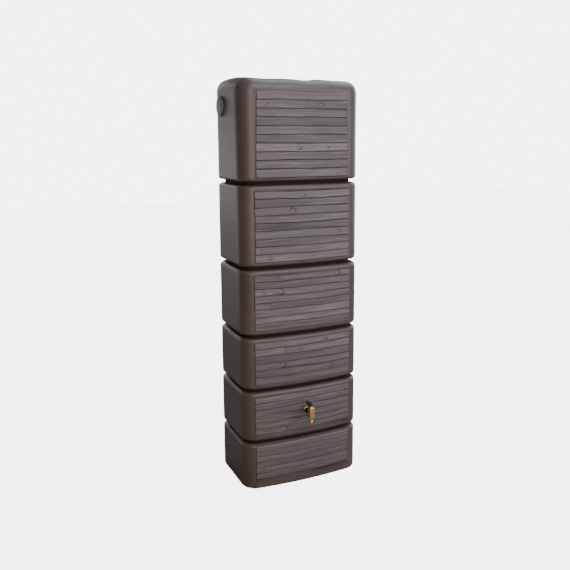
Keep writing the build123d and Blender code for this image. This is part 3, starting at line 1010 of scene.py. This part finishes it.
def finger_pocket(side, middle, top, floor):
    """A closed block the shape of a pocket, wider at the top and rounded at its floor."""
    flat = half_disc(POCKET_RADIUS, GRIP_HALF, 64)
    flat[:, 0] *= side
    centre = flat.mean(axis=0)
    out = flat - centre
    length = np.linalg.norm(out, axis=1)[:, None]
    round_floor = 4 * MM
    steps = [(9 * MM, floor)]
    for turn in np.linspace(0.15, math.pi / 2, 7):
        steps.append((round_floor * (1 - math.sin(turn)), floor + round_floor * (1 - math.cos(turn))))
    steps += in_mm([(0, -2), (-0.3, -0.8), (-1.2, 0), (-1.2, 5)], top)

    def ring(scale, z):
        return np.column_stack([centre + out * scale, np.full(len(flat), z)])

    rings = [ring(0, floor)] + [ring(1 - inset / length, z) for inset, z in steps]
    return upright("cut", rings + [ring(0, steps[-1][1])], middle, False, 35)


def make_lid(material):
    low, high, middle = box("lid")
    neck_low, neck_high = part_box("neck_ring")
    radius = (high.x - low.x) / 2
    skirt = (neck_high.x - neck_low.x) / 2 + 0.6 * MM
    top = high.z
    under = top - 4 * MM
    pocket_floor = top - 16 * MM
    bowl = 72 * MM
    around = 360
    profile = [(0, pocket_floor - 4 * MM)]
    profile += in_mm([(-6, -4), (-1.5, -2.5), (0, 2)], pocket_floor, bowl)
    profile += [(bowl, under), (skirt, under)]
    profile += in_mm([(0, 1), (1, 0), (3, 0), (4, 1)], low.z, skirt) + [(skirt + 4 * MM, under)]
    profile += in_mm([(-8, -4), (-8, -14)], top, radius)
    rings = turned(profile, around)
    for inset, height, depth in LID_RIM:
        radii = scallops(radius - inset * MM, depth * MM, around)
        rings.append(polar_ring(radii, top + height * MM))
    profile = in_mm([(-10, 0), (-11, -0.9), (-12.5, -0.9), (-13.5, 0)], top, radius)
    profile += in_mm([(6, 0), (4, -0.8), (-12, -0.8)], top, bowl) + [(0, top - 0.8 * MM)]
    lid = upright("screw_lid", rings + turned(profile, around), middle, False, 40)
    for side in WORDS:
        boolean(lid, finger_pocket(side, middle, top - 0.8 * MM, pocket_floor))
    finish_mesh(lid.data, 40)
    fit(lid, "lid", "lid", "lid_plastic", material)


def make_port_cap(side, material):
    """A low domed screw cap with a fine grip rim, hollow behind, on its threaded spigot."""
    node = f"{WORDS[side]}_port_cap"
    low, high, middle = box(node)
    radius = (high.z - low.z) / 2
    long = high.x - low.x
    start = long - 8 * MM
    spigot = 35.7 * MM
    bore = 32 * MM
    around = 288
    ribs = 0.5 + 0.5 * np.cos(CAP_RIBS * angles(around))
    profile = in_mm([(0, 0.6), (0.6, 0)], 0, bore) + in_mm([(-1, 0), (0, 0.8)], 0, spigot)
    for turn in range(2):
        at = 2.4 * MM + turn * THREAD_PITCH
        profile += in_mm([(0, 0), (-0.9, 0.8), (-0.9, 1.6), (0, 2.4)], at, spigot)
    rings = turned(profile + [(spigot, start)], around)
    for inset, height, depth in CAP_RIM:
        radii = radius - inset * MM - depth * MM * ribs
        rings.append(polar_ring(radii, start + height * MM))
    dome = [(-7, -1.1), (-9, -0.9), (-9.8, -1.6), (-11, -1.6), (-11.8, -0.7)]
    profile = [(radius - 4.2 * MM, start + 6.3 * MM)] + in_mm(dome, long, radius)
    profile += [(radius * 0.5, long - 0.2 * MM), (0, long), (0, long - 3 * MM)]
    rings += turned(profile + in_mm([(-2, -3), (0, -5)], long, bore), around)
    foot = (low.x if side > 0 else high.x, middle.y, middle.z)
    rings = [place(ring, foot, (side, 0, 0)) for ring in rings]
    cap = skin(f"{WORDS[side]}_screw_cap", rings, True, sharp_deg=40)
    fit(cap, node, node, "cap_plastic", material)


# ---------------------------------------------------------------- tap


def rounded_square(height, inset=0.0):
    """A ring round the tap's square chamber, by angle, so it matches a round ring."""
    half = CHAMBER_HALF - inset
    corner = max(CHAMBER_CORNER - inset, 0.2 * MM)
    c, s = np.abs(np.cos(angles(TAP_AROUND))), np.abs(np.sin(angles(TAP_AROUND)))
    reach = half - corner
    flat = half / np.maximum(c, s)
    along = reach * (c + s)
    inside = np.maximum(along**2 - (2 * reach**2 - corner**2), 0)
    in_corner = (flat * np.minimum(c, s)) > reach
    return polar_ring(np.where(in_corner, along + np.sqrt(inside), flat), height)


def tap_place():
    """The height of the tap's axis, and the Y of its upright chamber and of its flange."""
    washer_low, washer_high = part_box("tap_washer")
    nozzle_low, nozzle_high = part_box("tap_nozzle")
    axis_z = (washer_low.z + washer_high.z) / 2
    return axis_z, (nozzle_low.y + nozzle_high.y) / 2, washer_low.y


def tap_chamber(low_z, high_z, axis_z, chamber_y):
    """The square upright part, open below for the nozzle and above for the stem."""
    bevel = 2 * MM
    profile = [(10 * MM, axis_z + 12 * MM)] + in_mm([(10, 0.5), (10.5, 0)], low_z)
    rings = turned(profile, TAP_AROUND)
    rings += [rounded_square(low_z, 1 * MM), rounded_square(low_z + 1 * MM)]
    rings.append(rounded_square(high_z - bevel))
    for turn in np.linspace(0.3, math.pi / 2, 5):
        height = high_z - bevel + bevel * math.sin(turn)
        rings.append(rounded_square(height, bevel * (1 - math.cos(turn))))
    profile = in_mm([(7.5, 0), (7, -0.5), (7, -10), (4.05, -10)], high_z)
    rings += turned(profile + [(4.05 * MM, axis_z + 13.5 * MM)], TAP_AROUND)
    return upright("tap_casting", rings, (0, chamber_y), True, 40)


def tap_barrel(reach, end, axis_z, chamber_y):
    """The round barrel back to the wall, with its hexagon and the thread's plain stub."""
    hexagon = polygon_radii(6, 27.7 * MM, TAP_AROUND)
    profile = in_mm([(0, 0), (8, 0), (11, 0.1)])
    profile += in_mm([(11, -14), (11.6, -12), (13, -10.6)], reach)
    rings = turned(profile, TAP_AROUND)
    nut = [(13.6, -10), (14.6, -9.7), (16.4, -8.6), (16.4, -1.4), (14.6, -0.3), (14.2, 0)]
    for radius, height in in_mm(nut, reach):
        rings.append(polar_ring(np.minimum(hexagon, radius), height))
    profile = [(10.4 * MM, reach)] + in_mm([(10.4, -1), (9.4, 0), (6, 0)], end)
    rings += turned(profile + [(6 * MM, reach), (0, reach)], TAP_AROUND)
    rings = [place(ring, (0, chamber_y, axis_z), (0, 1, 0)) for ring in rings]
    return skin("barrel", rings, False, sharp_deg=40)


def make_tap_body(material, shade_brass):
    """The casting: gold on its flats, with the dark lever bronze on the barrel and behind it as
    painted shade.
    """
    low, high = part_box("tap_body")
    axis_z, chamber_y, flange_y = tap_place()
    casting = tap_chamber(low.z, high.z, axis_z, chamber_y)
    barrel = tap_barrel(flange_y - chamber_y, high.y - chamber_y, axis_z, chamber_y)
    boolean(casting, barrel, "UNION")
    drill(casting, 6 * MM, (0, chamber_y, axis_z), (0, flange_y + 1 * MM, axis_z), 64)
    drill(casting, 10 * MM, (0, chamber_y, low.z - 5 * MM), (0, chamber_y, axis_z + 12 * MM))
    screw = box("tap_grub_screw")[2]
    for radius, depth in ((2.05 * MM, 4 * MM), (3.1 * MM, CHAMBER_HALF - 1.6 * MM)):
        mouth = (screw.x, chamber_y - 20 * MM, screw.z)
        drill(casting, radius, mouth, (screw.x, chamber_y - depth, screw.z), 32)
    finish_mesh(casting.data, 40)
    fit(casting, "tank", "tap_body", "tap_brass", material, shade_brass)
    # painted shade: the barrel behind the chamber takes the dark second material
    for face in casting.data.polygons:
        off_axis = math.hypot(face.center.x, face.center.z - axis_z)
        behind = face.center.y > chamber_y + CHAMBER_HALF
        face.material_index = int(behind and off_axis < 12.4 * MM)


def slot_ring(half_width, back, front, inset, height):
    """A ring round a bar with round ends, its length along Y."""
    radius = half_width - inset
    turn = np.linspace(0, math.pi, 40)
    top = np.stack([radius * np.cos(turn), back - half_width + radius * np.sin(turn)], 1)
    low = np.stack([-radius * np.cos(turn), front + half_width - radius * np.sin(turn)], 1)
    flat = np.concatenate([top, low])
    return np.column_stack([flat, np.full(len(flat), height)])


def fill_ends(obj):
    """Closes the open first and last rings of a skin."""
    work = bmesh.new()
    work.from_mesh(obj.data)
    bmesh.ops.holes_fill(work, edges=[e for e in work.edges if e.is_boundary], sides=0)
    bmesh.ops.recalc_face_normals(work, faces=work.faces)
    work.to_mesh(obj.data)
    work.free()


def make_lever(material):
    """The flat bar on top of the tap, with grip grooves across its back end."""
    low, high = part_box("tap_lever")
    half = (high.x - low.x) / 2
    profile = [(half * 0.98, low.z)] + in_mm([(1.2, 0), (0.35, 0.35), (0, 1.2)], low.z)
    profile += in_mm([(0, -2.2), (0.5, -0.9), (1.6, -0.2), (2.6, 0)], high.z)
    profile += [(half * 0.98, high.z)]
    rings = [slot_ring(half, high.y, low.y, inset, z) for inset, z in profile]
    lever = skin("tap_lever_bar", rings, False, sharp_deg=45)
    fill_ends(lever)
    groove_z = high.z + 0.45 * MM
    for step in range(5):
        y = high.y - (7 + 4.5 * step) * MM
        drill(lever, 1.1 * MM, (-9 * MM, y, groove_z), (9 * MM, y, groove_z), 24)
    finish_mesh(lever.data, 40)
    fit(lever, "tap_handle", "tap_lever", "lever_bronze", material)


def make_lever_screw(material):
    low, high, middle = box("tap_lever_screw")
    around = 72
    profile = in_mm([(0, 0), (1.6, 0), (2, 0.5)], low.z)
    profile += in_mm([(2, 0), (4.2, 0), (4.5, 0.3), (4.5, 1.8), (4.1, 2.5)], high.z - 3 * MM)
    profile += in_mm([(3.4, 0), (2.3, 0)], high.z)
    rings = turned(profile, around)
    socket = polygon_radii(6, 3.46 * MM, around)
    rings += [polar_ring(socket, high.z - depth * MM) for depth in (0.25, 2)]
    rings.append(round_ring(0, high.z - 2.3 * MM, around))
    screw = upright("lever_screw", rings, middle, False, 35)
    fit(screw, "tap_handle", "tap_lever_screw", "screw_steel", material)


def make_gland_nut(material):
    low, high, middle = box("tap_gland_nut")
    hex_low = high.z - 4 * MM
    profile = in_mm([(4.05, 0), (6.6, 0), (6.9, 0.5)], low.z) + [(6.9 * MM, hex_low)]
    rings = turned(profile, TAP_AROUND)
    flats = polygon_radii(6, 16.45 * MM, TAP_AROUND)
    for radius, z in in_mm([(8.3, 0), (9.5, 0.6)], hex_low) + in_mm([(9.5, -0.8), (8.2, 0)], high.z):
        rings.append(polar_ring(np.minimum(flats, radius), z))
    rings += turned(in_mm([(5.2, 0), (4.05, -0.6)], high.z), TAP_AROUND)
    nut = upright("gland_nut", rings, middle, True, 30)
    fit(nut, "tank", "tap_gland_nut", "tap_brass", material)


def make_nozzle(material):
    """The hose tail: two grooves below, and a collar above."""
    low, high, middle = box("tap_nozzle")
    collar_top = high.z - 4.4 * MM
    collar_low = collar_top - 4 * MM
    profile = in_mm([(6, 0.8), (6.8, 0), (8.8, 0), (9.8, 1)], low.z)
    for groove in (6, 12):
        profile += in_mm([(9.8, 0), (9.45, 0.5), (9.45, 1.6), (9.8, 2.1)], low.z + groove * MM)
    profile += in_mm([(9.8, 0), (11.2, 0), (11.8, 0.6)], collar_low)
    profile += in_mm([(11.8, -0.6), (11.2, 0), (9.9, 0)], collar_top)
    profile += in_mm([(9.9, -0.5), (9.4, 0), (6, 0)], high.z)
    nozzle = lathe("hose_tail", profile, (middle.x, middle.y, 0), (0, 0, 1), TAP_AROUND)
    fit(nozzle, "tank", "tap_nozzle", "tap_brass", material)


# ---------------------------------------------------------------- CAD nodes that stay


def paint_node(node, material):
    mesh_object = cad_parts[node]
    for slot in mesh_object.material_slots:
        slot.link = "OBJECT"
        slot.material = material


def paint_nodes(brass, rubber, seat, chrome, steel):
    finishes = {
        brass: ("wall_bushes", "tap_insert", "tap_retainer", "tap_stem"),
        rubber: ("lid_seal", "left_port_seal", "right_port_seal", "tap_washer",
                 "tap_stem_seal", "tap_nozzle_washer"),
        seat: ("tap_seat_inlet", "tap_seat_outlet"),
        chrome: ("tap_ball",),
        steel: ("tap_grub_screw",),
    }
    for material, nodes in finishes.items():
        for node in nodes:
            paint_node(node, material)


# ---------------------------------------------------------------- floor, light and camera
WORLD_LIGHT = 0.18
BACKDROP = 6.0
FLOOR_GLOW = 5.3
# Yaw, pitch and roll in degrees, lens in mm, shift as a share of the frame, place in metres.
CAMERA_ANGLES = (24.435, 9.067, -0.294)
CAMERA_LENS = 43.445
CAMERA_SHIFT = (-0.0150, -0.0640)
CAMERA_PLACE = (-1.2970, -2.9307, 1.5857)


def make_floor():
    half = 14.0
    mesh = bpy.data.meshes.new("floor")
    mesh.from_pydata(
        [(-half, -half, 0), (half, -half, 0), (half, half, 0), (-half, half, 0)], [], [(0, 1, 2, 3)]
    )
    floor = new_object("floor", mesh)
    floor.data.materials.append(floor_material())


def make_light(name, size, power, colour, place_at, aim):
    light = bpy.data.lights.new(name, "AREA")
    light.shape = "RECTANGLE"
    light.size, light.size_y = size
    light.energy = power
    light.color = colour
    obj = new_object(name, light)
    obj.location = place_at
    obj.rotation_euler = (Vector(aim) - Vector(place_at)).to_track_quat("-Z", "Y").to_euler()
    obj.visible_camera = False


def make_world():
    """Dim cool light from all round, behind a pale backdrop that only the camera sees."""
    world = bpy.data.worlds.new("world")
    bpy.context.scene.world = world
    world.use_nodes = True
    tree = world.node_tree
    soft = tree.nodes["Background"]
    soft.inputs["Color"].default_value = (0.86, 0.93, 1.0, 1.0)
    soft.inputs["Strength"].default_value = WORLD_LIGHT
    backdrop = tree.nodes.new("ShaderNodeBackground")
    backdrop.inputs["Color"].default_value = (1.0, 1.0, 1.0, 1.0)
    backdrop.inputs["Strength"].default_value = BACKDROP
    path = tree.nodes.new("ShaderNodeLightPath")
    mix = tree.nodes.new("ShaderNodeMixShader")
    tree.links.new(path.outputs["Is Camera Ray"], mix.inputs["Fac"])
    tree.links.new(soft.outputs["Background"], mix.inputs[1])
    tree.links.new(backdrop.outputs["Background"], mix.inputs[2])
    tree.links.new(mix.outputs["Shader"], tree.nodes["World Output"].inputs["Surface"])


def make_camera():
    """The camera that sees the tank as it stands: to its left, a little above its middle."""
    yaw, pitch, roll = (math.radians(a) for a in CAMERA_ANGLES)
    forward = Vector(
        (math.sin(yaw) * math.cos(pitch), math.cos(yaw) * math.cos(pitch), -math.sin(pitch))
    )
    right = Vector((math.cos(yaw), -math.sin(yaw), 0))
    upward = right.cross(forward)
    right_rolled = math.cos(roll) * right + math.sin(roll) * upward
    up_rolled = -math.sin(roll) * right + math.cos(roll) * upward
    camera = bpy.data.cameras.new("camera")
    camera.lens = CAMERA_LENS
    camera.shift_x, camera.shift_y = CAMERA_SHIFT
    obj = new_object("camera", camera)
    turn = Matrix((right_rolled, up_rolled, -forward)).transposed().to_4x4()
    obj.matrix_world = Matrix.Translation(CAMERA_PLACE) @ turn
    bpy.context.scene.camera = obj


make_camera()
make_world()
make_floor()
make_light("key", (2.2, 3.0), 95, (0.84, 0.88, 1.0), (2.3, -3.3, 2.0), (0, 0, 0.9))
make_light("front", (2.0, 3.2), 88, (1.0, 0.93, 0.88), (-1.4, -4.0, 1.9), (0, 0, 0.9))
make_light("high", (2.6, 1.4), 95, (0.70, 0.78, 1.0), (0.5, -2.6, 4.4), (0, 0, 1.2))
make_light("sky", (3.0, 3.0), 120, (0.62, 0.78, 1.0), (1.8, 0.8, 4.4), (0, 0, 1.2))
make_light("rim", (1.6, 2.0), 36, (1.0, 0.97, 0.95), (-0.2, 3.4, 1.9), (0, 0, 1.5))
make_light("side", (1.2, 1.6), 10, (1.0, 0.97, 0.94), (-2.1, 2.8, 0.9), (0, 0, 0.9))
make_light("right", (1.4, 2.4), 40, (0.70, 0.82, 1.0), (3.0, 1.0, 1.8), (0, 0, 1.2))

tank_plastic = tank_material()
make_tank(tank_plastic)
make_neck(tank_plastic)
make_lid(plastic_material("lid_plastic", (0.050, 0.038, 0.032), (0.064, 0.050, 0.043)))
cap_plastic = plastic_material("cap_plastic", (0.125, 0.108, 0.100), (0.155, 0.136, 0.127))
for side in WORDS:
    make_port_cap(side, cap_plastic)

brass = metal_material(
    "tap_brass", (0.66, 0.40, 0.15), (0.88, 0.58, 0.24), 0.28, 0.44, (900.0, 900.0, 120.0)
)
bronze = metal_material(
    "lever_bronze", (0.045, 0.026, 0.014), (0.115, 0.070, 0.036), 0.32, 0.5, (900.0, 120.0, 900.0)
)
steel = metal_material(
    "screw_steel", (0.035, 0.032, 0.030), (0.085, 0.080, 0.075), 0.35, 0.5, (700.0, 700.0, 700.0)
)
chrome = metal_material(
    "ball_chrome", (0.62, 0.62, 0.63), (0.75, 0.75, 0.76), 0.06, 0.12, (300.0, 300.0, 300.0)
)
make_tap_body(brass, bronze)
make_nozzle(brass)
make_gland_nut(brass)
make_lever(bronze)
make_lever_screw(steel)
paint_nodes(brass, rubber_material(), seat_material(), chrome, steel)
